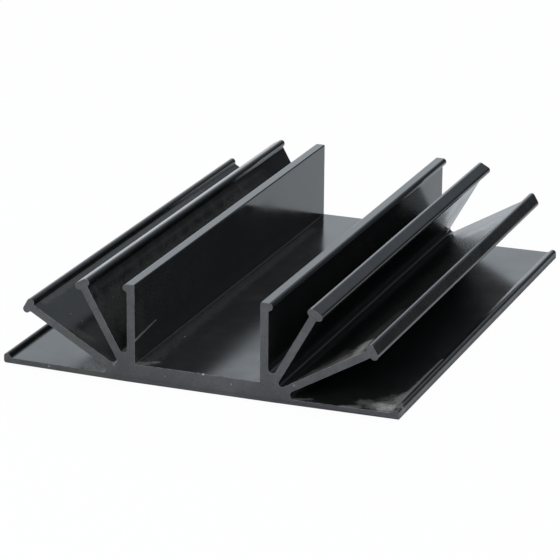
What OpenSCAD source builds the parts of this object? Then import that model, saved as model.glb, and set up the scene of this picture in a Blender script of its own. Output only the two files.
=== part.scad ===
// Extruded aluminium heat sink: a flat base with a device channel between two upright fins,
// a fan of two inclined fins outside each of them, and thin wings that end in a raised rim.
// The wings rise a little towards their rims, so that the thick middle seats first.
// The section is symmetric about the middle plane and is extruded along Y.
// Millimetres. X runs across the section, Y along the extrusion, Z up from the underside.

/* [Extrusion] */
// Length that the profile is cut to
length = 129; // [40:1:300]
// Overall width across the wings
width = 100; // [94:0.5:130]
// Overall height, to the tops of the upright fins
height = 24.25; // [20:0.25:36]

/* [Base] */
// Thickness of the plate under the device channel
base_t = 4.65; // [3.4:0.05:6]
// Thickness of the outer wings
wing_t = 1.4; // [1:0.1:2.2]
// How much the underside of a wing rises from its root to its edge
wing_rise = 0.36; // [0:0.02:0.6]
// Clear width of the device channel
channel_w = 31.6; // [27:0.1:36]
// Fillet along each lower corner of the channel
channel_fillet = 0.2; // [0.1:0.05:0.8]
// Round along the outer lower edge of each wing
underside_r = 0.4; // [0.2:0.05:0.8]

/* [Upright fins] */
// Thickness of the upright fins
upright_t = 2; // [1.4:0.1:2.6]
// Round along the inner top edge of the upright fins
upright_edge_r = 0.35; // [0.1:0.05:0.5]

/* [Inclined fins] */
// Thickness of the inclined fins
inclined_t = 1.9; // [1.4:0.1:2.4]
// Tilt of the inner inclined fins away from upright
inner_tilt = 29.2; // [26:0.2:34]
// Tilt of the outer inclined fins away from upright
outer_tilt = 60; // [56:0.5:62]
// Reach of the outer inclined fins, from the point that the fins fan out from
outer_reach = 31.7; // [24:0.1:34]
// How far the fan point lies inboard of the upright fin's middle
fan_inset = 0.2; // [0:0.05:0.5]
// Height of the fan point above the underside
fan_z = 0.25; // [0:0.05:0.5]

/* [Fin edge beads] */
// Radius of the bead along a fin's free edge
bead_r = 0.95; // [0.7:0.05:1.2]
// How far a bead stands out from the fin's face
bead_proud = 1; // [0.6:0.05:1.3]
// Fillet between a bead and the fin's face
bead_fillet = 0.4; // [0.2:0.05:0.7]

/* [Slot bottoms] */
// Radius at the bottom of the slot beside the upright fin
inner_slot_r = 1; // [0.6:0.05:1.3]
// Radius at the bottom of the slot between the two inclined fins
middle_slot_r = 0.8; // [0.6:0.05:1.3]
// Radius at the bottom of the slot above the wing
outer_slot_r = 1; // [0.6:0.05:1.3]

/* [Wing rim] */
// Height of the raised rim, from the underside of the wing
rim_h = 2.55; // [2.4:0.05:4]
// Radius over the top of the rim
rim_r = 0.9; // [0.6:0.05:1]
// Slope of the rim's inner side above the wing
rim_slope = 42; // [30:1:60]
// Fillet between the rim's inner side and the wing
rim_fillet = 1.6; // [0.8:0.1:2]

/* [Hidden] */
$fn = 48;
// How far a web or fillet reaches into the wall beside it, so that they fuse
lap = 0.3;
// A round is cut this much past tangent, so that it meets the face beside it in a clean edge
hair = 0.002;

half_w = width / 2;
channel_x = channel_w / 2;
upright_x = channel_x + upright_t;
// The inclined fins' middle planes all pass through the fan point
fan_x = upright_x - upright_t / 2 - fan_inset;
// Distance from an inclined fin's middle plane to the middle of each of its beads
bead_off = inclined_t / 2 + bead_proud - bead_r;
// The inner inclined fin reaches as high as the upright fin
inner_reach = bead_r + (height - fan_z - bead_r - bead_off * sin(inner_tilt)) / cos(inner_tilt);

// Half of an inclined fin's thickness, measured along the level
function half_level(tilt) = inclined_t / 2 / cos(tilt);

// Where an inclined fin's face starts on the underside: side -1 is its upper face, 1 its lower
function face_x(tilt, side) = fan_x - fan_z * tan(tilt) + side * half_level(tilt);

// A wing leaves the flat underside where the lower face of the outer inclined fin comes down
root_x = face_x(outer_tilt, 1);
wing_tilt = atan2(wing_rise, half_w - root_x);

// Height at which two faces cross that start at xa and xb and lean at tilts a and b
function crossing_z(xa, a, xb, b) = (xb - xa) / (tan(a) - tan(b));

// Web that closes the bottom of a V slot with a round of radius r.
// The faces leave the apex at the tilts a and b, measured from upright.
module slot_web(apex, a, b, r) {
    half = (b - a) / 2;
    middle = r / sin(half);
    // Where the round leaves the faces, carried into the walls by the lap
    edge_x = middle - (r + lap) * sin(half);
    edge_y = (r + lap) * cos(half);
    translate(apex)
        rotate(90 - (a + b) / 2)
            difference() {
                polygon([[-lap / sin(half), 0], [edge_x, -edge_y], [middle, 0], [edge_x, edge_y]]);
                translate([middle, 0])
                    circle(r + hair);
            }
}

// One bead on the +X side of a wall whose face is at x = face, with its top at y = top
module edge_bead(face, top) {
    middle = [face + bead_proud - bead_r, top - bead_r];
    gap = [face + bead_fillet, middle.y - sqrt(pow(bead_r + bead_fillet, 2)
        - pow(face + bead_fillet - middle.x, 2))];
    translate(middle)
        circle(bead_r);
    difference() {
        polygon([[face - lap, gap.y], gap, middle, [face - lap, middle.y]]);
        translate(gap)
            circle(bead_fillet + hair);
    }
}

// Upright fin with a bead on its outer side only
module upright_fin() {
    difference() {
        translate([channel_x, 0])
            square([upright_t, height]);
        translate([channel_x - lap, height - upright_edge_r])
            square(upright_edge_r + lap);
    }
    translate([channel_x + upright_edge_r, height - upright_edge_r])
        circle(upright_edge_r);
    translate([channel_x + upright_edge_r, height - 2 * upright_edge_r])
        square([upright_t - upright_edge_r + bead_proud - bead_r, 2 * upright_edge_r]);
    edge_bead(upright_x, height);
}

// Inclined fin with a bead on both sides of its free edge
module inclined_fin(tilt, reach) {
    // The foot is cut level, just above the underside
    foot = (lap - fan_z) / cos(tilt);
    skew = inclined_t / 2 * tan(tilt);
    translate([fan_x, fan_z])
        rotate(-tilt) {
            polygon([
                [-inclined_t / 2, foot - skew],
                [inclined_t / 2, foot + skew],
                [inclined_t / 2, reach],
                [-inclined_t / 2, reach],
            ]);
            translate([-bead_off, reach - bead_r])
                square([2 * bead_off, bead_r]);
            for (side = [0, 1])
                mirror([side, 0])
                    edge_bead(inclined_t / 2, reach);
        }
}

// Wing from its root to its rounded edge, with the raised rim and the bottom of the slot above it,
// drawn along its own underside
module wing() {
    // The rounded edge reaches half_w, also where the wing is tilted
    span = underside_r + (half_w - root_x - underside_r * (1 - sin(wing_tilt))) / cos(wing_tilt);
    top = [span - rim_r, rim_h - rim_r];
    crest = top + (rim_r - hair) * [-sin(rim_slope), cos(rim_slope)];
    foot_x = top.x - (rim_r + (top.y - wing_t) * cos(rim_slope)) / sin(rim_slope);
    slot_tilt = outer_tilt + wing_tilt;
    translate([root_x, 0])
        rotate(wing_tilt) {
            square([span - underside_r, wing_t]);
            translate([span - underside_r, underside_r])
                circle(underside_r);
            translate([span - 2 * underside_r, underside_r])
                square([2 * underside_r, rim_h - rim_r - underside_r]);
            polygon([
                [foot_x - lap / tan(rim_slope), wing_t - lap],
                [span - underside_r, wing_t - lap],
                [span - underside_r, top.y],
                top,
                crest,
            ]);
            translate(top)
                circle(rim_r);
            slot_web([foot_x, wing_t], -90, 90 - rim_slope, rim_fillet);
            slot_web([wing_t * tan(slot_tilt), wing_t], slot_tilt, 90, outer_slot_r);
        }
}

// One half of the section, on the +X side of the middle plane
module half_section() {
    inner_z = crossing_z(upright_x, 0, face_x(inner_tilt, -1), inner_tilt);
    middle_z = crossing_z(face_x(inner_tilt, 1), inner_tilt, face_x(outer_tilt, -1), outer_tilt);
    square([upright_x, base_t]);
    square([root_x, wing_t]);
    wing();
    upright_fin();
    inclined_fin(inner_tilt, inner_reach);
    inclined_fin(outer_tilt, outer_reach);
    slot_web([channel_x, base_t], -90, 0, channel_fillet);
    slot_web([upright_x, inner_z], 0, inner_tilt, inner_slot_r);
    slot_web([face_x(inner_tilt, 1) + middle_z * tan(inner_tilt), middle_z],
        inner_tilt, outer_tilt, middle_slot_r);
}

// Whole section, symmetric about the middle plane
module section() {
    for (side = [0, 1])
        mirror([side, 0])
            half_section();
}

module heat_sink() {
    color([0.08, 0.08, 0.09])
        translate([0, length / 2, 0])
            rotate([90, 0, 0])
                linear_extrude(length)
                    section();
}

heat_sink();
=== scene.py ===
"""Looks of a black anodised aluminium heat sink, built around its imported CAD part.

The section is drawn from the same named sizes as the solid, swept along Y by a Geometry Nodes
tree, and dressed in two finishes: the anodised skin that the die left, and the sawn ends.
Metres. X runs across the section, Y along the extrusion, Z up from the underside.
"""

import logging
import math
from dataclasses import dataclass
from enum import Enum
from typing import Any, Union

import bpy
from mathutils import Matrix, Vector


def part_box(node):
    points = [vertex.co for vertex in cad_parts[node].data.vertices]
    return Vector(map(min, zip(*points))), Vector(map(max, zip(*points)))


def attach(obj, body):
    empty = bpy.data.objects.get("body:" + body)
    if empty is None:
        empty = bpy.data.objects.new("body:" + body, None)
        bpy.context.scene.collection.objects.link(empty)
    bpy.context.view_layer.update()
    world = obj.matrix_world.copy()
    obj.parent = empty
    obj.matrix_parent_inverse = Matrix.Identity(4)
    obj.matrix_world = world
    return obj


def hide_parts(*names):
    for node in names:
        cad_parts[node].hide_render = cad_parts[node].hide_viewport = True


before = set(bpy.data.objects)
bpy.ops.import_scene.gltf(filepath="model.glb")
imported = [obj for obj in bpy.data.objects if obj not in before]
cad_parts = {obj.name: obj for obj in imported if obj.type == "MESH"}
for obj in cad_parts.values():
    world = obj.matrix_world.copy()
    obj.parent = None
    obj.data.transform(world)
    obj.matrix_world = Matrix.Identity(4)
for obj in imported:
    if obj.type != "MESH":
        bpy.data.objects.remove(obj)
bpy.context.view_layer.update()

log = logging.getLogger("heat_sink")

MM = 0.001

Socket = bpy.types.NodeSocket
Place = tuple[float, float, float]
Colour = tuple[float, float, float, float]
# What a node's input takes: another node's output or a plain value
Given = Union[Socket, float, tuple]
# A tree's own inputs, read by their names
Inputs = bpy.types.bpy_prop_collection

WHITE: Colour = (1.0, 1.0, 1.0, 1.0)


class Turn(Enum):
    """Which way an arc runs, seen with X to the right and Z up."""

    LEFT = 1
    RIGHT = -1


@dataclass(frozen=True)
class RimPoint:
    """One point of the section's outline with the direction that faces out of the metal."""

    x: float
    z: float
    out_x: float
    out_z: float

    def mirrored(self) -> "RimPoint":
        """The same point on the other half of the section."""
        return RimPoint(-self.x, self.z, -self.out_x, self.out_z)

    def turned(self, angle: float, x: float, z: float) -> "RimPoint":
        """The same point after a turn about the origin and a move.

        Args:
            angle: Turn from X towards Z, in radians.
            x: How far it moves along X.
            z: How far it moves along Z.

        Returns:
            The new point.
        """
        along, up = math.cos(angle), math.sin(angle)
        return RimPoint(
            x + self.x * along - self.z * up,
            z + self.z * along + self.x * up,
            self.out_x * along - self.out_z * up,
            self.out_z * along + self.out_x * up,
        )


def arc(
    middle: tuple[float, float], radius: float, start: float, end: float, turn: Turn, step: float
) -> list[RimPoint]:
    """Points along a round of the outline.

    Args:
        middle: Centre of the arc.
        radius: Its radius.
        start: Angle of its first point, in degrees from +X.
        end: Angle of its last point.
        turn: LEFT for a hollow round, RIGHT for a proud one.
        step: Largest angle between two points, in degrees.

    Returns:
        The points in order, each with its outward direction.
    """
    sweep = (end - start) % 360 if turn is Turn.LEFT else -((start - end) % 360)
    count = max(2, math.ceil(abs(sweep) / step))
    points = []
    for index in range(count + 1):
        angle = math.radians(start + sweep * index / count)
        across, up = math.cos(angle), math.sin(angle)
        side = -turn.value
        points.append(
            RimPoint(middle[0] + radius * across, middle[1] + radius * up, side * across, side * up)
        )
    return points


@dataclass(frozen=True)
class Wing:
    """Sizes of one thin wing, which slopes up a little from the base to its raised rim."""

    wing_rise: float
    underside_r: float
    rim_h: float
    rim_r: float
    rim_slope: float
    rim_fillet: float
    wing_t: float = 1.4 * MM


@dataclass(frozen=True)
class Section:
    """Half of the extrusion's cross-section, from the same named sizes as the solid."""

    half_w: float
    height: float
    wing: Wing
    base_t: float = 4.65 * MM
    channel_x: float = 15.8 * MM
    channel_fillet: float = 0.2 * MM
    upright_t: float = 2.0 * MM
    upright_edge_r: float = 0.35 * MM
    inclined_t: float = 1.9 * MM
    inner_tilt: float = 29.2
    outer_tilt: float = 60.0
    outer_reach: float = 31.7 * MM
    fan_inset: float = 0.2 * MM
    fan_z: float = 0.25 * MM
    bead_r: float = 0.95 * MM
    bead_proud: float = 1.0 * MM
    bead_fillet: float = 0.4 * MM
    inner_slot_r: float = 1.0 * MM
    middle_slot_r: float = 0.8 * MM
    outer_slot_r: float = 1.0 * MM
    # Largest angle between two points of a round, in degrees
    step: float = 7.5

    @property
    def upright_x(self) -> float:
        """Outer face of the upright fin."""
        return self.channel_x + self.upright_t

    @property
    def fan_x(self) -> float:
        """X of the point that the inclined fins fan out from."""
        return self.upright_x - self.upright_t / 2 - self.fan_inset

    @property
    def bead_off(self) -> float:
        """Distance from an inclined fin's middle plane to the middle of its beads."""
        return self.inclined_t / 2 + self.bead_proud - self.bead_r

    @property
    def inner_reach(self) -> float:
        """Reach of the inner inclined fin, which stands as high as the upright fin.

        Returns:
            Distance from the fan point to the fin's free edge.
        """
        tilt = math.radians(self.inner_tilt)
        rise = self.height - self.fan_z - self.bead_r - self.bead_off * math.sin(tilt)
        return self.bead_r + rise / math.cos(tilt)

    def face_x(self, tilt: float, side: int) -> float:
        """Where an inclined fin's face, drawn on, meets the underside.

        Args:
            tilt: Lean of the fin away from upright, in degrees.
            side: 1 for its outboard face, -1 for its inboard one.

        Returns:
            The face's X at the underside.
        """
        lean = math.radians(tilt)
        middle = self.fan_x - self.fan_z * math.tan(lean)
        return middle + side * self.inclined_t / 2 / math.cos(lean)

    @property
    def root_x(self) -> float:
        """Where a wing leaves the flat underside."""
        return self.face_x(self.outer_tilt, 1)

    @property
    def wing_tilt(self) -> float:
        """Slope of a wing's underside, in radians."""
        return math.atan2(self.wing.wing_rise, self.half_w - self.root_x)

    def slot(
        self, apex: tuple[float, float], first: float, last: float, radius: float
    ) -> list[RimPoint]:
        """Round at the bottom of a slot between two faces.

        Args:
            apex: Point where the two faces would meet.
            first: Tilt of the inboard face, in degrees from upright.
            last: Tilt of the outboard face.
            radius: Radius of the round.

        Returns:
            The round's points, from the inboard face to the outboard one.
        """
        half, mean = math.radians((last - first) / 2), math.radians((first + last) / 2)
        reach = radius / math.sin(half)
        middle = (apex[0] + reach * math.sin(mean), apex[1] + reach * math.cos(mean))
        return arc(middle, radius, 180 - first, 360 - last, Turn.LEFT, self.step)

    def bead(self, face: float, top: float) -> list[RimPoint]:
        """Bead and fillet on the outboard side of a wall.

        Args:
            face: Where the wall's face is.
            top: Where the wall's free edge is.

        Returns:
            Points from the top of the bead, over it and down to the face.
        """
        middle = (face + self.bead_proud - self.bead_r, top - self.bead_r)
        gap_x = face + self.bead_fillet
        drop = math.sqrt((self.bead_r + self.bead_fillet) ** 2 - (gap_x - middle[0]) ** 2)
        gap = (gap_x, middle[1] - drop)
        meet = math.degrees(math.atan2(gap[1] - middle[1], gap[0] - middle[0]))
        over = arc(middle, self.bead_r, 90, meet, Turn.RIGHT, self.step)
        under = arc(gap, self.bead_fillet, meet + 180, 180, Turn.LEFT, self.step)
        return over + under[1:]

    def inclined(self, tilt: float, reach: float) -> list[RimPoint]:
        """Free edge of an inclined fin, with a bead on both sides.

        Args:
            tilt: Lean of the fin away from upright, in degrees.
            reach: Distance from the fan point to the free edge.

        Returns:
            Points from the fin's upper face, over its edge, to its lower face.
        """
        outboard = self.bead(self.inclined_t / 2, reach)
        upright = [point.mirrored() for point in reversed(outboard)] + outboard
        lean = math.radians(tilt)
        return [point.turned(-lean, self.fan_x, self.fan_z) for point in upright]

    def crossing(
        self, start: float, tilt: float, other_start: float, other_tilt: float
    ) -> tuple[float, float]:
        """Point where two faces cross.

        Args:
            start: Where the first face starts on the underside.
            tilt: Its tilt in degrees.
            other_start: Where the second face starts.
            other_tilt: Its tilt in degrees.

        Returns:
            The crossing's X and Z.
        """
        slope, other = math.tan(math.radians(tilt)), math.tan(math.radians(other_tilt))
        z = (other_start - start) / (slope - other)
        return start + z * slope, z

    def wing_outline(self) -> list[RimPoint]:
        """Bottom of the slot above the wing, raised rim, outer edge and lower corner.

        Returns:
            Points from the outer fin's lower face, round the wing to its root.
        """
        wing, tilt, corner = self.wing, self.wing_tilt, self.wing.underside_r
        span = corner + (self.half_w - self.root_x - corner * (1 - math.sin(tilt))) / math.cos(tilt)
        slope = math.radians(wing.rim_slope)
        middle = (span - wing.rim_r, wing.rim_h - wing.rim_r)
        drop = wing.rim_r + (middle[1] - wing.wing_t) * math.cos(slope)
        foot = (middle[0] - drop / math.sin(slope), wing.wing_t)
        slot_tilt = math.radians(self.outer_tilt) + tilt
        apex = (wing.wing_t * math.tan(slot_tilt), wing.wing_t)
        level = (
            self.slot(apex, math.degrees(slot_tilt), 90, self.outer_slot_r)
            + self.slot(foot, -90, 90 - wing.rim_slope, wing.rim_fillet)
            + arc(middle, wing.rim_r, 90 + wing.rim_slope, 0, Turn.RIGHT, self.step)
            + arc((span - corner, corner), corner, 0, -90, Turn.RIGHT, self.step)
        )
        # The wing is drawn level and then tilted about its root
        tilted = [point.turned(tilt, self.root_x, 0.0) for point in level]
        return tilted + [RimPoint(self.root_x, 0.0, 0.0, -1.0)]

    def half(self) -> list[RimPoint]:
        """Outline of the +X half, from the channel's floor round to the underside.

        Returns:
            The half's points in order.
        """
        fillet, edge = self.channel_fillet, self.upright_edge_r
        corner = (self.channel_x - fillet, self.base_t + fillet)
        top = (self.channel_x + edge, self.height - edge)
        inner, outer = self.inner_tilt, self.outer_tilt
        inner_apex = self.crossing(self.upright_x, 0, self.face_x(inner, -1), inner)
        middle_apex = self.crossing(self.face_x(inner, 1), inner, self.face_x(outer, -1), outer)
        return (
            arc(corner, fillet, -90, 0, Turn.LEFT, self.step)
            + arc(top, edge, 180, 90, Turn.RIGHT, self.step * 2)
            + self.bead(self.upright_x, self.height)
            + self.slot(inner_apex, 0, inner, self.inner_slot_r)
            + self.inclined(inner, self.inner_reach)
            + self.slot(middle_apex, inner, outer, self.middle_slot_r)
            + self.inclined(outer, self.outer_reach)
            + self.wing_outline()
        )


class NodeSheet:
    """A node tree that is being drawn: it adds nodes and joins their sockets."""

    def __init__(self, tree: bpy.types.NodeTree) -> None:
        """Takes the tree to draw in."""
        self.tree = tree
        self.column = 0

    def add(
        self, kind: str, inputs: dict[str | int, Given] | None = None, **settings: Any
    ) -> bpy.types.Node:
        """Adds one node.

        Args:
            kind: The node's type name.
            inputs: Value or socket for each input, by name or number.
            settings: Values for the node's own properties.

        Returns:
            The new node.
        """
        node = self.tree.nodes.new(kind)
        node.location = (self.column * 190, -(self.column % 4) * 170)
        self.column += 1
        for name, value in settings.items():
            setattr(node, name, value)
        for name, value in (inputs or {}).items():
            self.put(node, name, value)
        return node

    def put(self, node: bpy.types.Node, name: str | int, value: Given) -> None:
        """Joins a socket to an input, or writes a plain value there.

        Args:
            node: The node that takes it.
            name: Name or number of its input.
            value: The socket or the value.
        """
        socket = node.inputs[name]
        if isinstance(value, Socket):
            self.tree.links.new(value, socket)
        else:
            socket.default_value = value

    def shape(
        self, kind: str, geometry: Socket, inputs: dict[str, Given], **settings: Any
    ) -> Socket:
        """Adds a node that takes a geometry and gives the changed one."""
        return self.add(kind, {"Geometry": geometry, **inputs}, **settings).outputs[0]

    def math(self, operation: str, *values: Given, clamp: bool = False) -> Socket:
        """Adds a Math node, whose result clamp holds between 0 and 1."""
        inputs = dict(enumerate(values))
        return self.add("ShaderNodeMath", inputs, operation=operation, use_clamp=clamp).outputs[0]

    def vector(self, operation: str, *values: Given) -> Socket:
        """Adds a Vector Math node, and returns its number output where it has one."""
        node = self.add("ShaderNodeVectorMath", dict(enumerate(values)), operation=operation)
        return node.outputs["Value" if operation in ("LENGTH", "DOT_PRODUCT") else "Vector"]

    def scaled(self, vector: Given, by: Given) -> Socket:
        """Adds a Vector Math node that multiplies a vector by a number."""
        node = self.add("ShaderNodeVectorMath", {0: vector, "Scale": by}, operation="SCALE")
        return node.outputs["Vector"]

    def ramp(
        self, value: Socket, low: float, high: float, to_low: float = 0.0, to_high: float = 1.0
    ) -> Socket:
        """Maps a value's range smoothly onto another, held at both ends.

        Args:
            value: The socket to map.
            low: Where the range starts.
            high: Where it ends.
            to_low: Result at its start.
            to_high: Result at its end.

        Returns:
            The mapped value.
        """
        span = {"From Min": low, "From Max": high, "To Min": to_low, "To Max": to_high}
        node = self.add(
            "ShaderNodeMapRange", {"Value": value, **span}, interpolation_type="SMOOTHSTEP"
        )
        return node.outputs["Result"]

    def noise(
        self,
        place: Socket,
        scale: Given,
        detail: float = 3.0,
        roughness: float = 0.55,
        distortion: float = 0.0,
    ) -> Socket:
        """Adds a Noise Texture.

        Args:
            place: Coordinates that it reads.
            scale: Its scale.
            detail: Its octaves.
            roughness: How strong the fine octaves are.
            distortion: How much it is warped.

        Returns:
            Its value output.
        """
        form = {"Detail": detail, "Roughness": roughness, "Distortion": distortion}
        node = self.add("ShaderNodeTexNoise", {"Vector": place, "Scale": scale, **form})
        return node.outputs[0]

    def group(self, tree: bpy.types.NodeTree, inputs: dict[str, Given]) -> Socket:
        """Adds a shared node group.

        Args:
            tree: The group's nodes.
            inputs: Value or socket for each of its inputs that isn't left at its default.

        Returns:
            The group's output.
        """
        node = self.add("ShaderNodeGroup", node_tree=tree)
        for label, value in inputs.items():
            self.put(node, label, value)
        return node.outputs[0]

    def mix(self, share: Given, first: Given, second: Given) -> Socket:
        """Mixes two colours.

        Args:
            share: How much of the second one shows.
            first: Colour or socket.
            second: Colour or socket.

        Returns:
            The mixed colour.
        """
        # The numbers are those of the node's sockets for colours
        node = self.add("ShaderNodeMix", data_type="RGBA")
        for index, value in ((0, share), (6, first), (7, second)):
            self.put(node, index, value)
        return node.outputs[2]


def new_group(
    name: str, kind: str, inputs: list[tuple], outputs: list[tuple]
) -> bpy.types.NodeTree:
    """Makes an empty node group with its sockets.

    Args:
        name: The group's name.
        kind: ShaderNodeTree or GeometryNodeTree.
        inputs: Name, socket type and default of each input.
        outputs: Name and socket type of each output.

    Returns:
        The new group.
    """
    group = bpy.data.node_groups.new(name, kind)
    for label, socket_type, *default in inputs:
        socket = group.interface.new_socket(name=label, in_out="INPUT", socket_type=socket_type)
        if default:
            socket.default_value = default[0]
    for label, socket_type in outputs:
        group.interface.new_socket(name=label, in_out="OUTPUT", socket_type=socket_type)
    return group


def new_material(name: str) -> tuple[bpy.types.Material, NodeSheet]:
    """Makes an empty material.

    Args:
        name: The material's name.

    Returns:
        The material and the sheet to draw its nodes on.
    """
    material = bpy.data.materials.new(name)
    material.use_nodes = True
    material.node_tree.nodes.clear()
    return material, NodeSheet(material.node_tree)


@dataclass
class Extruder:
    """Geometry Nodes tree that sweeps an outline along Y and breaks its two cut edges."""

    name: str = "Extruded profile"
    stations: int = 26
    break_steps: int = 3
    # Folds over this angle, in degrees, stay sharp
    crease: float = 34.0
    # A face whose normal runs this much along the sweep is on an end
    end_facing: float = 0.95

    def tree(self) -> bpy.types.NodeTree:
        """Draws the tree.

        Returns:
            The tree, with the length, the edge break and both finishes as inputs.
        """
        group = new_group(
            self.name,
            "GeometryNodeTree",
            [
                ("Geometry", "NodeSocketGeometry"),
                ("Length", "NodeSocketFloat", 0.1),
                ("Edge break", "NodeSocketFloat", 0.0001),
                ("Break steps", "NodeSocketInt", self.break_steps),
                ("Stations", "NodeSocketInt", self.stations),
                ("Skin", "NodeSocketMaterial"),
                ("Sawn end", "NodeSocketMaterial"),
            ],
            [("Geometry", "NodeSocketGeometry")],
        )
        sheet = NodeSheet(group)
        given = sheet.add("NodeGroupInput").outputs
        rings = self.rings(sheet, given)
        walls = self.walls(sheet, given, rings)
        sheet.add("NodeGroupOutput", {0: self.dressed(sheet, given, walls)})
        return group

    def rings(self, sheet: NodeSheet, given: Inputs) -> Socket:
        """Places the rings of the sweep: close together over the edge break, then even.

        Args:
            sheet: The tree's nodes.
            given: The tree's inputs.

        Returns:
            A curve along Z with a point for each ring, which holds the ring's inset.
        """
        spine = sheet.add("GeometryNodeCurvePrimitiveLine", {"End": (0.0, 0.0, 1.0)})
        curve = sheet.add(
            "GeometryNodeResampleCurve", {"Curve": spine.outputs[0], "Count": given["Stations"]}
        ).outputs[0]
        # Rings are counted from the nearer end, where they step round a quarter circle
        index = sheet.add("GeometryNodeInputIndex").outputs[0]
        last = sheet.math("SUBTRACT", given["Stations"], 1.0)
        from_end = sheet.math("MINIMUM", index, sheet.math("SUBTRACT", last, index))
        share = sheet.math("MINIMUM", sheet.math("DIVIDE", from_end, given["Break steps"]), 1.0)
        angle = sheet.math("MULTIPLY", share, math.pi / 2)
        back = sheet.math("SUBTRACT", 1.0, sheet.math("COSINE", angle))
        inward = sheet.math("SUBTRACT", 1.0, sheet.math("SINE", angle))
        rounding = sheet.math("MULTIPLY", given["Edge break"], back)
        inset = sheet.math("MULTIPLY", given["Edge break"], inward)
        # What is left of the length is shared out evenly
        plain_count = sheet.math(
            "SUBTRACT", last, sheet.math("MULTIPLY", given["Break steps"], 2.0)
        )
        both = sheet.math("MULTIPLY", given["Edge break"], 2.0)
        plain = sheet.math("SUBTRACT", given["Length"], both)
        pitch = sheet.math("DIVIDE", plain, plain_count)
        past = sheet.math("MAXIMUM", sheet.math("SUBTRACT", from_end, given["Break steps"]), 0.0)
        depth = sheet.math("ADD", rounding, sheet.math("MULTIPLY", past, pitch))
        half = sheet.math("MULTIPLY", given["Length"], 0.5)
        far = sheet.math("GREATER_THAN", index, sheet.math("MULTIPLY", last, 0.5))
        sign = sheet.math("SUBTRACT", sheet.math("MULTIPLY", far, 2.0), 1.0)
        level = sheet.math("MULTIPLY", sign, sheet.math("SUBTRACT", half, depth))
        place = sheet.add("ShaderNodeCombineXYZ", {"Z": level})
        curve = sheet.shape("GeometryNodeSetPosition", curve, {"Position": place.outputs[0]})
        return sheet.shape(
            "GeometryNodeStoreNamedAttribute",
            curve,
            {"Name": "inset", "Value": inset},
            data_type="FLOAT",
            domain="POINT",
        )

    def walls(self, sheet: NodeSheet, given: Inputs, rings: Socket) -> Socket:
        """Sweeps the outline over the rings, draws the cut edges in and shades the creases.

        Args:
            sheet: The tree's nodes.
            given: The tree's inputs.
            rings: The curve of the rings.

        Returns:
            The swept mesh, which stands on its end.
        """
        profile = sheet.add("GeometryNodeMeshToCurve", {"Mesh": given["Geometry"]})
        form = sheet.add(
            "GeometryNodeCurveToMesh",
            {"Curve": rings, "Profile Curve": profile.outputs[0], "Fill Caps": True},
        ).outputs[0]
        named = "GeometryNodeInputNamedAttribute"
        outward = sheet.add(named, {"Name": "outward"}, data_type="FLOAT_VECTOR").outputs[0]
        inset = sheet.add(named, {"Name": "inset"}, data_type="FLOAT").outputs[0]
        shift = sheet.scaled(outward, sheet.math("MULTIPLY", inset, -1.0))
        form = sheet.shape("GeometryNodeSetPosition", form, {"Offset": shift})
        fold = sheet.add("GeometryNodeInputMeshEdgeAngle").outputs["Unsigned Angle"]
        creased = sheet.math("GREATER_THAN", fold, math.radians(self.crease))
        smooth = "GeometryNodeSetShadeSmooth"
        form = sheet.shape(smooth, form, {"Shade Smooth": True})
        flat = {"Selection": creased, "Shade Smooth": False}
        return sheet.shape(smooth, form, flat, domain="EDGE")

    def dressed(self, sheet: NodeSheet, given: Inputs, form: Socket) -> Socket:
        """Gives the skin and the ends their finishes and lays the sweep along Y.

        Args:
            sheet: The tree's nodes.
            given: The tree's inputs.
            form: The swept mesh.

        Returns:
            The finished mesh, without the sweep's own attributes.
        """
        finish = "GeometryNodeSetMaterial"
        form = sheet.shape(finish, form, {"Material": given["Skin"]})
        normal = sheet.add("GeometryNodeInputNormal").outputs[0]
        steep = sheet.math("ABSOLUTE", sheet.add("ShaderNodeSeparateXYZ", {0: normal}).outputs["Z"])
        on_end = sheet.math("GREATER_THAN", steep, self.end_facing)
        form = sheet.shape(finish, form, {"Selection": on_end, "Material": given["Sawn end"]})
        form = sheet.shape("GeometryNodeTransform", form, {"Rotation": (math.pi / 2, 0.0, 0.0)})
        for name in ("inset", "outward"):
            form = sheet.shape("GeometryNodeRemoveAttribute", form, {"Name": name})
        return sheet.shape("GeometryNodeRealizeInstances", form, {})

    def sweep(
        self,
        name: str,
        outline: list[RimPoint],
        sizes: dict[str, float],
        finishes: dict[str, bpy.types.Material],
    ) -> bpy.types.Object:
        """Sweeps an outline and returns it as a plain mesh.

        Args:
            name: Name of the finished piece.
            outline: Closed outline of the section.
            sizes: Value for each of the tree's number inputs that isn't left at its default.
            finishes: Material for each of the tree's material inputs.

        Returns:
            The finished piece, with no modifier on it.
        """
        mesh = bpy.data.meshes.new(name + "_outline")
        count = len(outline)
        mesh.from_pydata(
            [(p.x, p.z, 0.0) for p in outline], [(i, (i + 1) % count) for i in range(count)], []
        )
        outward = mesh.attributes.new("outward", "FLOAT_VECTOR", "POINT")
        for index, point in enumerate(outline):
            outward.data[index].vector = (point.out_x, point.out_z, 0.0)
        carrier = bpy.data.objects.new(name + "_outline", mesh)
        bpy.context.scene.collection.objects.link(carrier)
        modifier = carrier.modifiers.new("Sweep", "NODES")
        modifier.node_group = self.tree()
        values = {**sizes, **finishes}
        for item in modifier.node_group.interface.items_tree:
            if item.in_out == "INPUT" and item.name in values:
                modifier[item.identifier] = values[item.name]
        evaluated = carrier.evaluated_get(bpy.context.evaluated_depsgraph_get())
        solid = bpy.data.meshes.new_from_object(evaluated)
        solid.name = name
        bpy.data.objects.remove(carrier)
        piece = bpy.data.objects.new(name, solid)
        bpy.context.scene.collection.objects.link(piece)
        return piece


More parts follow.
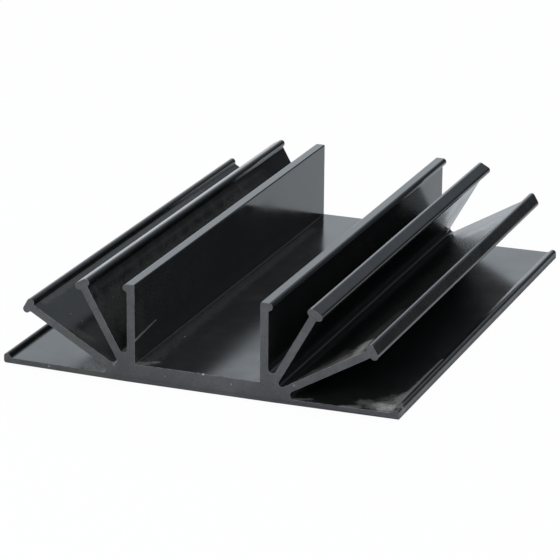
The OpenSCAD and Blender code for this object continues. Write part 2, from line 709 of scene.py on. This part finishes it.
class SharedEffects:
    """Node groups that more than one finish uses."""

    def __init__(self) -> None:
        """Draws each group once."""
        self.trace = self._trace()
        self.specks = self._specks()
        self.streaks = self._streaks()

    @staticmethod
    def _trace() -> bpy.types.NodeTree:
        """Draws a tapered trace with a broken edge, around the line between two points.

        Returns:
            The group, whose mask is 1 on the line and 0 beyond the trace's reach.
        """
        group = new_group(
            "Trace",
            "ShaderNodeTree",
            [
                ("Place", "NodeSocketVector"),
                ("Start", "NodeSocketVector"),
                ("End", "NodeSocketVector"),
                ("Start reach", "NodeSocketFloat", 0.002),
                ("End reach", "NodeSocketFloat", 0.002),
                ("Broken", "NodeSocketFloat", 0.6),
                ("Grain", "NodeSocketFloat", 420.0),
            ],
            [("Mask", "NodeSocketFloat")],
        )
        sheet = NodeSheet(group)
        given = sheet.add("NodeGroupInput").outputs
        along = sheet.vector("SUBTRACT", given["End"], given["Start"])
        off = sheet.vector("SUBTRACT", given["Place"], given["Start"])
        # A trace between two like points is a round spot, so the length's square never falls to 0
        square = sheet.math("MAXIMUM", sheet.vector("DOT_PRODUCT", along, along), 1e-9)
        part = sheet.math("DIVIDE", sheet.vector("DOT_PRODUCT", off, along), square, clamp=True)
        away = sheet.vector("LENGTH", sheet.vector("SUBTRACT", off, sheet.scaled(along, part)))
        growth = sheet.math("SUBTRACT", given["End reach"], given["Start reach"])
        reach = sheet.math("ADD", given["Start reach"], sheet.math("MULTIPLY", growth, part))
        wisp = sheet.noise(given["Place"], given["Grain"], 4.0, 0.62, distortion=0.4)
        # The noise moves the trace's edge in and out, by up to half of the swing
        swing = sheet.math("MULTIPLY", given["Broken"], 3.0)
        ragged = sheet.math("MULTIPLY", sheet.math("SUBTRACT", wisp, 0.5), swing)
        share = sheet.math("ADD", sheet.math("DIVIDE", away, reach), ragged)
        sheet.add("NodeGroupOutput", {"Mask": sheet.ramp(share, low=1.1, high=0.1)})
        return group

    @staticmethod
    def _specks() -> bpy.types.NodeTree:
        """Draws scattered grit of uneven size.

        Returns:
            The group, whose mask is 1 on each speck.
        """
        group = new_group(
            "Grit",
            "ShaderNodeTree",
            [
                ("Place", "NodeSocketVector"),
                ("Spacing", "NodeSocketFloat", 0.002),
                ("Size", "NodeSocketFloat", 0.1),
                ("Share", "NodeSocketFloat", 0.3),
            ],
            [("Mask", "NodeSocketFloat")],
        )
        sheet = NodeSheet(group)
        given = sheet.add("NodeGroupInput").outputs
        scale = sheet.math("DIVIDE", 1.0, given["Spacing"])
        cells = sheet.add(
            "ShaderNodeTexVoronoi", {"Vector": given["Place"], "Scale": scale, "Randomness": 1.0}
        )
        draw = sheet.add("ShaderNodeSeparateColor", {0: cells.outputs["Color"]})
        chosen = sheet.math("LESS_THAN", draw.outputs[0], given["Share"])
        size = sheet.math("MULTIPLY", given["Size"], sheet.math("ADD", draw.outputs[1], 0.3))
        near = sheet.math("LESS_THAN", cells.outputs["Distance"], size)
        sheet.add("NodeGroupOutput", {"Mask": sheet.math("MULTIPLY", chosen, near)})
        return group

    @staticmethod
    def _streaks() -> bpy.types.NodeTree:
        """Draws fine lines that run along Y, as a die leaves them.

        Returns:
            The group, whose value is the height of the lines.
        """
        group = new_group(
            "Die lines",
            "ShaderNodeTree",
            [
                ("Place", "NodeSocketVector"),
                ("Fine", "NodeSocketFloat", 3000.0),
                ("Length", "NodeSocketFloat", 0.02),
            ],
            [("Value", "NodeSocketFloat")],
        )
        sheet = NodeSheet(group)
        given = sheet.add("NodeGroupInput").outputs
        squeeze = sheet.add("ShaderNodeCombineXYZ", {"X": 1.0, "Y": given["Length"], "Z": 1.0})
        place = sheet.vector("MULTIPLY", given["Place"], squeeze.outputs[0])
        lines = sheet.noise(place, given["Fine"], roughness=0.6)
        sheet.add("NodeGroupOutput", {"Value": lines})
        return group


class Canvas:
    """What a finish is drawn on: an empty material, its object coordinates and the effects."""

    def __init__(self, name: str, effects: SharedEffects) -> None:
        """Makes the material.

        Args:
            name: Its name.
            effects: The shared groups.
        """
        self.material, self.sheet = new_material(name)
        self.place = self.sheet.add("ShaderNodeTexCoord").outputs["Object"]
        parts = self.sheet.add("ShaderNodeSeparateXYZ", {0: self.place}).outputs
        self.along, self.up = parts["Y"], parts["Z"]
        self.effects = effects

    def strongest(self, masks: list[Socket]) -> Socket:
        """Joins several masks.

        Args:
            masks: The masks.

        Returns:
            The strongest of them at each point.
        """
        joined = masks[0]
        for mask in masks[1:]:
            joined = self.sheet.math("MAXIMUM", joined, mask)
        return joined

    def finish(
        self, colour: Socket, rough: Socket, index: float, relief: tuple[Socket, float, float]
    ) -> bpy.types.Material:
        """Joins the finish's shader to the material.

        Args:
            colour: The finish's colour.
            rough: Its roughness.
            index: Its refractive index.
            relief: Height of its fine relief, with the strength and the depth of the bump.

        Returns:
            The finished material.
        """
        height, strength, depth = relief
        bump = self.sheet.add(
            "ShaderNodeBump", {"Strength": strength, "Distance": depth, "Height": height}
        )
        shader = self.sheet.add(
            "ShaderNodeBsdfPrincipled",
            {"Base Color": colour, "Roughness": rough, "IOR": index, "Normal": bump.outputs[0]},
        )
        self.sheet.add("ShaderNodeOutputMaterial", {"Surface": shader.outputs[0]})
        return self.material


@dataclass(frozen=True)
class Mottle:
    """Uneven pattern: a noise, and the range of it that is spread over another range."""

    scale: float
    detail: float
    roughness: float
    taken: tuple[float, float]
    spread: tuple[float, float] = (0.0, 1.0)

    def value(self, canvas: Canvas) -> Socket:
        """Draws the pattern and returns its value."""
        noise = canvas.sheet.noise(canvas.place, self.scale, self.detail, self.roughness)
        return canvas.sheet.ramp(noise, *self.taken, *self.spread)


@dataclass(frozen=True)
class Trace:
    """Dust, a stain or a scratch along the line between two points, in millimetres."""

    start: Place
    end: Place
    reach: tuple[float, float]
    strength: float
    broken: float = 0.6
    grain: float = 420.0

    def mask(self, canvas: Canvas) -> Socket:
        """Draws the trace.

        Args:
            canvas: The finish that it lies on.

        Returns:
            Its mask, up to the trace's strength.
        """
        inputs = {
            "Place": canvas.place,
            "Start": tuple(value * MM for value in self.start),
            "End": tuple(value * MM for value in self.end),
            "Start reach": self.reach[0] * MM,
            "End reach": self.reach[1] * MM,
            "Broken": self.broken,
            "Grain": self.grain,
        }
        drawn = canvas.sheet.group(canvas.effects.trace, inputs)
        return canvas.sheet.math("MULTIPLY", drawn, self.strength)


def spot(middle: Place, reach: float, strength: float) -> Trace:
    """A small round speck."""
    return Trace(middle, middle, (reach, reach), strength, 0.1)


@dataclass(frozen=True)
class Grit:
    """Scattered specks, by their spacing, their size within it and the share of places taken."""

    spacing: float
    share: float
    strength: float
    size: float = 0.035

    def mask(self, canvas: Canvas) -> Socket:
        """Draws the specks.

        Args:
            canvas: The finish that they lie on.

        Returns:
            Their mask, up to the specks' strength.
        """
        inputs = {
            "Place": canvas.place,
            "Spacing": self.spacing,
            "Size": self.size,
            "Share": self.share,
        }
        drawn = canvas.sheet.group(canvas.effects.specks, inputs)
        return canvas.sheet.math("MULTIPLY", drawn, self.strength)


@dataclass(frozen=True)
class AnodisedSkin:
    """Black anodised face as the die left it: a clear dark film with faint lines along Y."""

    name: str = "Black anodised skin"
    deep: Colour = (0.0135, 0.0145, 0.0137, 1.0)
    cloudy: Colour = (0.0190, 0.0196, 0.0190, 1.0)
    dust: Colour = (0.60, 0.58, 0.53, 1.0)
    # Pale tone of the marks and the grit, also used for the painted highlight on the cut edge
    pale: Colour = (0.62, 0.64, 0.64, 1.0)
    film_index: float = 1.45
    # Where the film is cloudy, and how rough it is
    clouds: Mottle = Mottle(160.0, 4.0, 0.6, (0.35, 0.72))
    roughness: Mottle = Mottle(90.0, 3.0, 0.55, (0.3, 0.7), (0.14, 0.21))
    # How the dust lies within its traces and, thinly, everywhere else
    clumps: Mottle = Mottle(1300.0, 4.0, 0.65, (0.32, 0.66), (0.5, 1.0))
    thin_dust: Mottle = Mottle(210.0, 5.0, 0.68, (0.52, 0.80), (0.0, 0.024))
    # What full dust adds to the roughness
    dust_rough: float = 0.8
    # The rubbed rim is tinted faintly, and counts this many times as much in the roughness
    rubbed_rough: float = 11.0
    # The highest beads are polished between these two heights
    bead_from: float = 19.5 * MM
    bead_to: float = 22.5 * MM
    bead_polish: float = 0.06
    # The edge that the saw broke: its band, measured back from the cut, and how strong the painted
    # highlight on it is, which lies in patches
    cut_at: float = 64.5 * MM
    edge_from: float = 0.14 * MM
    edge_to: float = 0.06 * MM
    edge_highlight: float = 0.38
    edge_highlight_patches: Mottle = Mottle(900.0, 3.0, 0.6, (0.35, 0.6), (0.3, 1.0))
    line_scale: float = 3200.0
    line_length: float = 0.012
    line_depth: float = 0.04 * MM
    line_strength: float = 0.03
    grit: Grit = Grit(spacing=4.2 * MM, share=0.10, strength=0.22)
    rubbed: Trace = Trace((50.6, -64.5, 0.5), (50.6, 64.5, 0.7), (1.8, 1.8), 0.04, 0.1, 160.0)
    dusty: tuple[Trace, ...] = (
        # On the right wing, in the front corner and along the foot of the rim
        Trace((44.7, -61.0, 1.7), (46.2, -61.6, 1.7), (4.3, 4.3), 0.86, 0.35, 560.0),
        Trace((39.8, -60.4, 1.6), (42.0, -60.4, 1.7), (2.6, 3.2), 0.34, 0.6, 560.0),
        Trace((46.4, -60.0, 1.7), (47.5, -50.5, 1.8), (3.0, 1.3), 0.42, 0.45, 420.0),
        Trace((44.0, -57.5, 1.7), (45.8, -54.0, 1.7), (3.0, 2.4), 0.15, 0.5, 420.0),
        Trace((47.7, -59.0, 1.8), (47.9, -26.0, 1.8), (1.3, 0.5), 0.46, 0.3, 380.0),
        Trace((36.0, -64.3, 1.6), (39.5, -63.6, 1.6), (0.9, 1.7), 0.38, 0.5, 520.0),
        # By the root of the right wing
        Trace((24.5, -64.0, 1.5), (27.8, -62.8, 1.5), (1.3, 0.9), 0.28, 0.5, 520.0),
        # On the right outer fin, below its bead and along its cut edge
        Trace((38.9, -63.0, 14.1), (38.2, -54.0, 13.8), (3.6, 3.6), 0.50, 0.4, 460.0),
        Trace((35.0, -64.2, 11.9), (29.5, -64.4, 8.7), (9.5, 7.0), 0.30, 0.4, 420.0),
        Trace((36.5, -61.0, 12.8), (33.0, -60.0, 10.8), (8.0, 9.0), 0.13, 0.5, 300.0),
        Trace((38.5, -55.0, 14.0), (38.5, -30.0, 14.0), (5.0, 2.0), 0.06, 0.5, 300.0),
        # On the left outer fin: a smudge, and a line under the bead
        Trace((-31.5, -62.5, 9.8), (-28.5, -61.0, 8.3), (2.6, 2.0), 0.06, 0.6, 420.0),
        Trace((-41.2, -60.0, 15.6), (-41.0, 40.0, 15.4), (1.5, 1.2), 0.065, 0.6, 200.0),
        # On the left wing, by its root
        Trace((-25.0, -63.5, 1.5), (-29.5, -60.5, 1.5), (5.0, 2.8), 0.19, 0.3, 300.0),
        # On the channel's floor, along its left side
        Trace((-13.4, -64.0, 4.65), (-13.8, 50.0, 4.65), (3.2, 1.8), 0.06, 0.8, 900.0),
        Trace((-14.6, -63.4, 4.65), (-11.6, -61.5, 4.65), (2.0, 1.4), 0.24, 0.5, 620.0),
        Trace((-15.7, -64.0, 4.75), (-15.7, 60.0, 4.75), (0.5, 0.3), 0.035, 0.7, 420.0),
        Trace((14.9, -64.3, 4.65), (15.4, -61.0, 4.65), (1.8, 0.8), 0.24, 0.3, 520.0),
        # In the left inner slot
        Trace((-23.5, -60.0, 15.0), (-25.0, 30.0, 17.0), (8.5, 6.0), 0.07, 0.6, 190.0),
    )
    marks: tuple[Trace, ...] = (
        Trace((-15.8, -64.3, 10.5), (-15.8, -51.7, 11.6), (0.50, 0.28), 0.42, 0.30, 700.0),
        Trace((-20.7, -64.4, 4.1), (-21.8, -64.2, 4.1), (0.45, 0.45), 0.5, 0.3),
        spot((1.6, -64.4, 4.65), 0.34, 0.9),
        spot((0.2, -64.2, 4.65), 0.20, 0.5),
        spot((-12.45, -42.0, 4.65), 0.26, 0.7),
        spot((3.4, -33.0, 4.65), 0.16, 0.2),
        spot((-35.5, -57.1, 12.3), 0.40, 0.12),
        spot((-32.8, -56.8, 10.7), 0.40, 0.14),
        spot((35.6, -60.0, 12.3), 0.30, 0.6),
        spot((15.6, -64.2, 4.75), 0.50, 0.35),
    )

    def dust_layer(self, canvas: Canvas) -> Socket:
        """Draws the dust, which lies thick and thin within each trace and thinly elsewhere.

        Args:
            canvas: The finish that it lies on.

        Returns:
            How much of the dust shows.
        """
        layer = canvas.strongest([trace.mask(canvas) for trace in self.dusty])
        thick = canvas.sheet.math("MULTIPLY", layer, self.clumps.value(canvas))
        return canvas.sheet.math("MAXIMUM", thick, self.thin_dust.value(canvas))

    def marks_and_edge_highlight(self, canvas: Canvas) -> Socket:
        """Draws what is pale and small: the marks, the grit and a painted highlight on the edge
        that the saw broke.

        Args:
            canvas: The finish that they lie on.

        Returns:
            How much of the pale tone shows.
        """
        sheet = canvas.sheet
        start, end = self.cut_at - self.edge_from, self.cut_at - self.edge_to
        broken = sheet.ramp(sheet.math("ABSOLUTE", canvas.along), start, end)
        patchy = sheet.math("MULTIPLY", broken, self.edge_highlight_patches.value(canvas))
        # Painted highlight along the broken cut edge, in patches
        edge = sheet.math("MULTIPLY", patchy, self.edge_highlight)
        marks = [mark.mask(canvas) for mark in self.marks]
        return canvas.strongest([*marks, self.grit.mask(canvas), edge])

    def build(self, effects: SharedEffects) -> bpy.types.Material:
        """Builds the material.

        Args:
            effects: The shared groups.

        Returns:
            The material.
        """
        canvas = Canvas(self.name, effects)
        sheet = canvas.sheet
        dust, marks = self.dust_layer(canvas), self.marks_and_edge_highlight(canvas)
        rubbed = self.rubbed.mask(canvas)
        film = sheet.mix(self.clouds.value(canvas), self.deep, self.cloudy)
        dusted = sheet.mix(sheet.math("MAXIMUM", dust, rubbed), film, self.dust)
        # The pale tone takes the marks, the grit and the painted highlight on the cut edge
        colour = sheet.mix(marks, dusted, self.pale)
        # Hands and boxes have polished the highest beads
        polish = sheet.ramp(canvas.up, self.bead_from, self.bead_to, 0.0, self.bead_polish)
        polished = sheet.math("SUBTRACT", self.roughness.value(canvas), polish)
        wear_and_shade = sheet.math("MULTIPLY", rubbed, self.rubbed_rough)
        cover = canvas.strongest([dust, marks, wear_and_shade])
        added = sheet.math("MULTIPLY", cover, self.dust_rough)
        rough = sheet.math("ADD", polished, added, clamp=True)
        lines = sheet.group(
            effects.streaks,
            {"Place": canvas.place, "Fine": self.line_scale, "Length": self.line_length},
        )
        relief = (lines, self.line_strength, self.line_depth)
        return canvas.finish(colour, rough, self.film_index, relief)


@dataclass(frozen=True)
class SawnEnd:
    """End face as the saw left it, anodised after the cut: a matt dark grey with a fine grain."""

    name: str = "Sawn end"
    low: Colour = (0.052, 0.052, 0.054, 1.0)
    high: Colour = (0.100, 0.100, 0.103, 1.0)
    # Colour of the painted shade towards the bottom of the end face
    painted_low_shade: Colour = (0.03, 0.031, 0.033, 1.0)
    stain: Colour = (0.070, 0.072, 0.052, 1.0)
    pale: Colour = (0.62, 0.64, 0.64, 1.0)
    film_index: float = 1.6
    # The saw's fine grain and the broad clouds, which go half and half in the tone
    grain_scale: float = 1500.0
    cloud_scale: float = 120.0
    octave_share: float = 0.6
    tone_taken: tuple[float, float] = (0.35, 0.65)
    # How rough the face is over the grain's own range
    rough_taken: tuple[float, float] = (0.3, 0.7)
    rough_spread: tuple[float, float] = (0.50, 0.63)
    grain_depth: float = 0.05 * MM
    grain_strength: float = 0.25
    # Painted shade: the end face is darker towards the bottom, up to this height, by this share
    low_shade_to: float = 9.0 * MM
    low_shade_share: float = 0.30
    grit: Grit = Grit(spacing=3.0 * MM, share=0.12, strength=0.12)
    stained: tuple[Trace, ...] = (
        Trace((-24.0, -64.5, 2.2), (-31.0, -64.5, 1.2), (2.4, 1.6), 0.8, 0.4, 300.0),
        Trace((-29.5, -64.5, 8.0), (-33.0, -64.5, 10.0), (1.4, 1.0), 0.5, 0.4, 300.0),
    )
    marks: tuple[Trace, ...] = (
        spot((1.6, -64.5, 4.55), 0.34, 0.8),
        spot((-8.1, -64.5, 2.7), 0.24, 0.30),
        spot((8.7, -64.5, 3.1), 0.26, 0.38),
        spot((-38.1, -64.5, 1.1), 0.30, 0.5),
        spot((24.3, -64.5, 5.0), 0.40, 0.22),
        spot((-21.2, -64.5, 3.8), 0.40, 0.25),
    )

    def build(self, effects: SharedEffects) -> bpy.types.Material:
        """Builds the material.

        Args:
            effects: The shared groups.

        Returns:
            The material.
        """
        canvas = Canvas(self.name, effects)
        sheet = canvas.sheet
        grain = sheet.noise(canvas.place, self.grain_scale, roughness=self.octave_share)
        clouds = sheet.noise(canvas.place, self.cloud_scale, roughness=self.octave_share)
        both = sheet.math("MULTIPLY", sheet.math("ADD", grain, clouds), 0.5)
        sawn = sheet.mix(sheet.ramp(both, *self.tone_taken), self.low, self.high)
        # Painted shade: strongest at the underside and gone at the height above
        painted_low_shade = sheet.ramp(canvas.up, 0.0, self.low_shade_to, self.low_shade_share, 0.0)
        # The sawn tone with the painted shade laid over it
        wear_and_shade = sheet.mix(painted_low_shade, sawn, self.painted_low_shade)
        stain = canvas.strongest([trace.mask(canvas) for trace in self.stained])
        stained = sheet.mix(stain, wear_and_shade, self.stain)
        marks = [mark.mask(canvas) for mark in self.marks]
        marked = canvas.strongest([*marks, self.grit.mask(canvas)])
        colour = sheet.mix(marked, stained, self.pale)
        rough = sheet.ramp(grain, *self.rough_taken, *self.rough_spread)
        relief = (grain, self.grain_strength, self.grain_depth)
        return canvas.finish(colour, rough, self.film_index, relief)


@dataclass
class HeatSink:
    """The whole part: one length of extrusion in two finishes."""

    skin: AnodisedSkin = AnodisedSkin()
    sawn: SawnEnd = SawnEnd()
    # This piece isn't quite even: its left wing stands higher and has a steeper, higher rim
    right_wing: Wing = Wing(
        wing_rise=0.25 * MM,
        underside_r=0.06 * MM,
        rim_h=2.2 * MM,
        rim_r=0.9 * MM,
        rim_slope=46.0,
        rim_fillet=1.2 * MM,
    )
    left_wing: Wing = Wing(
        wing_rise=0.42 * MM,
        underside_r=0.6 * MM,
        rim_h=2.45 * MM,
        rim_r=0.8 * MM,
        rim_slope=60.0,
        rim_fillet=0.3 * MM,
    )
    edge_break: float = 0.13 * MM
    node: str = "heat_sink"
    material_slot: str = "black_anodised"

    def build(self) -> bpy.types.Object:
        """Builds, dresses and mounts the extrusion.

        Returns:
            The finished piece.
        """
        low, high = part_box(self.node)
        half_w, height = (high.x - low.x) / 2, high.z - low.z
        right = Section(half_w, height, self.right_wing).half()
        left = Section(half_w, height, self.left_wing).half()
        effects = SharedEffects()
        piece = Extruder().sweep(
            "extrusion",
            right + [point.mirrored() for point in reversed(left)],
            {"Length": high.y - low.y, "Edge break": self.edge_break},
            {"Skin": self.skin.build(effects), "Sawn end": self.sawn.build(effects)},
        )
        normals = piece.modifiers.new("Even normals", "WEIGHTED_NORMAL")
        normals.keep_sharp = True
        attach(piece, "root")
        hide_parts(self.node)
        return piece


@dataclass(frozen=True)
class Lamp:
    """Square soft lamp that points at the object: its side in metres, its power in watts."""

    name: str
    place: Place
    size: float
    power: float
    colour: tuple[float, float, float] = (0.99, 1.0, 1.01)

    def hang(self) -> bpy.types.Object:
        """Hangs the lamp.

        Returns:
            The lamp, which lights the part without showing in it.
        """
        data = bpy.data.lights.new(self.name, "AREA")
        data.shape, data.size, data.energy = "SQUARE", self.size, self.power
        data.color = self.colour
        lamp = bpy.data.objects.new(self.name, data)
        lamp.location = self.place
        lamp.visible_glossy = False
        lamp.rotation_euler = (-Vector(self.place)).to_track_quat("-Z", "Y").to_euler()
        bpy.context.scene.collection.objects.link(lamp)
        return lamp


@dataclass
class Studio:
    """Floor, backdrop light, lamps and camera."""

    lens: float = 198.06
    sensor: float = 36.0
    azimuth: float = 20.82
    elevation: float = 18.52
    roll: float = 0.52
    distance: float = 799.6 * MM
    aim: Place = (-11.22 * MM, 19.20 * MM, 0.25 * MM)
    # The floor, as the camera sees it and as the metal mirrors it
    floor_side: float = 12.0
    floor_white: float = 0.96
    floor_mirrored: float = 0.35
    mirrored_tone: Colour = (0.875, 0.91, 0.925, 1.0)
    mirrored_glow: Colour = (0.97, 1.0, 1.02, 1.0)
    # The backdrop that the metal mirrors: where it is, its strength and how it fades out
    backdrop_turn: float = -28.0
    backdrop_strength: float = 1.15
    backdrop_edge: tuple[float, float] = (0.875, 0.965)
    backdrop_top: tuple[float, float] = (0.52, 0.35)
    backdrop_tint: Colour = (0.91, 0.99, 1.06, 1.0)
    # The room around it, which is dim low down and lighter overhead
    room_tint: Colour = (0.87, 0.95, 1.08, 1.0)
    room_heights: tuple[float, float] = (0.24, 0.46)
    room_levels: tuple[float, float] = (0.065, 0.42)
    lamps: tuple[Lamp, ...] = (
        Lamp("Overhead", (-0.15, 0.15, 0.9), 0.7, 3.4),
        Lamp("Front", (0.05, -1.0, 0.6), 0.6, 4.3),
    )

    def camera(self) -> bpy.types.Object:
        """Places the camera.

        Returns:
            The camera.
        """
        azimuth, elevation = math.radians(self.azimuth), math.radians(self.elevation)
        roll = math.radians(self.roll)
        back = Vector(
            (
                math.sin(azimuth) * math.cos(elevation),
                -math.cos(azimuth) * math.cos(elevation),
                math.sin(elevation),
            )
        )
        across = Vector((math.cos(azimuth), math.sin(azimuth), 0.0))
        up = back.cross(across)
        right = across * math.cos(roll) + up * math.sin(roll)
        top = up * math.cos(roll) - across * math.sin(roll)
        data = bpy.data.cameras.new("Camera")
        data.lens, data.sensor_width = self.lens, self.sensor
        data.clip_start, data.clip_end = 0.01, 50.0
        camera = bpy.data.objects.new("Camera", data)
        camera.matrix_world = Matrix.Translation(Vector(self.aim) + back * self.distance) @ Matrix(
            (right, top, back)
        ).transposed().to_4x4()
        bpy.context.scene.collection.objects.link(camera)
        bpy.context.scene.camera = camera
        return camera

    def floor(self) -> bpy.types.Object:
        """Lays a pale floor that keeps a faint shadow.

        Returns:
            The floor.
        """
        mesh = bpy.data.meshes.new("floor")
        half = self.floor_side / 2
        corners = [(-half, -half, 0.0), (half, -half, 0.0), (half, half, 0.0), (-half, half, 0.0)]
        mesh.from_pydata(corners, [], [(0, 1, 2, 3)])
        floor = bpy.data.objects.new("floor", mesh)
        bpy.context.scene.collection.objects.link(floor)
        material, sheet = new_material("Pale floor")
        rays = sheet.add("ShaderNodeLightPath").outputs
        mirrored = sheet.math("MAXIMUM", rays["Is Glossy Ray"], rays["Is Transmission Ray"])
        # Seen in the metal the floor is a little cooler, and the part's own shadow shows on it
        tone = sheet.mix(mirrored, WHITE, self.mirrored_tone)
        glow = sheet.mix(mirrored, WHITE, self.mirrored_glow)
        share = sheet.math(
            "MAXIMUM",
            sheet.math("MULTIPLY", rays["Is Camera Ray"], self.floor_white),
            sheet.math("MULTIPLY", mirrored, self.floor_mirrored),
        )
        matt = sheet.add("ShaderNodeBsdfDiffuse", {"Color": tone})
        lit = sheet.add("ShaderNodeEmission", {"Color": glow, "Strength": 1.0})
        mixed = sheet.add("ShaderNodeMixShader", {0: share, 1: matt.outputs[0], 2: lit.outputs[0]})
        sheet.add("ShaderNodeOutputMaterial", {"Surface": mixed.outputs[0]})
        mesh.materials.append(material)
        return floor

    def surroundings(self) -> None:
        """Lights the studio: a white backdrop behind on the left, a dim room elsewhere."""
        world = bpy.data.worlds.new("Studio")
        bpy.context.scene.world = world
        world.use_nodes = True
        world.node_tree.nodes.clear()
        sheet = NodeSheet(world.node_tree)
        rays = sheet.add("ShaderNodeLightPath").outputs
        toward = sheet.add("ShaderNodeTexCoord").outputs["Generated"]
        parts = sheet.add("ShaderNodeSeparateXYZ", {0: toward}).outputs
        flat = sheet.vector("NORMALIZE", sheet.vector("MULTIPLY", toward, (1.0, 1.0, 0.0)))
        turn = math.radians(self.backdrop_turn)
        facing = sheet.vector("DOT_PRODUCT", flat, (math.sin(turn), math.cos(turn), 0.0))
        across = sheet.ramp(facing, *self.backdrop_edge)
        backdrop = sheet.math("MULTIPLY", across, sheet.ramp(parts["Z"], *self.backdrop_top))
        overhead = sheet.ramp(parts["Z"], *self.room_heights, *self.room_levels)
        bright = sheet.math("MULTIPLY", backdrop, self.backdrop_strength)
        level = sheet.math("ADD", overhead, bright)
        tint = sheet.mix(backdrop, self.room_tint, self.backdrop_tint)
        room = sheet.add("ShaderNodeBackground", {"Color": tint, "Strength": level})
        white = sheet.add("ShaderNodeBackground", {"Color": WHITE, "Strength": 1.0})
        mixed = sheet.add(
            "ShaderNodeMixShader",
            {0: rays["Is Camera Ray"], 1: room.outputs[0], 2: white.outputs[0]},
        )
        sheet.add("ShaderNodeOutputWorld", {"Surface": mixed.outputs[0]})

    def build(self) -> None:
        """Sets up the whole studio."""
        self.camera()
        self.floor()
        self.surroundings()
        for lamp in self.lamps:
            lamp.hang()


def main() -> None:
    """Builds the studio and the part, and reports each piece."""
    logging.basicConfig(level=logging.INFO, format="%(name)s: %(message)s")
    Studio().build()
    piece = HeatSink().build()
    mesh = piece.data
    log.info("%s: %d points, %d faces", piece.name, len(mesh.vertices), len(mesh.polygons))
    bpy.context.scene.view_settings.view_transform = "Standard"


if __name__ == "__main__":
    main()
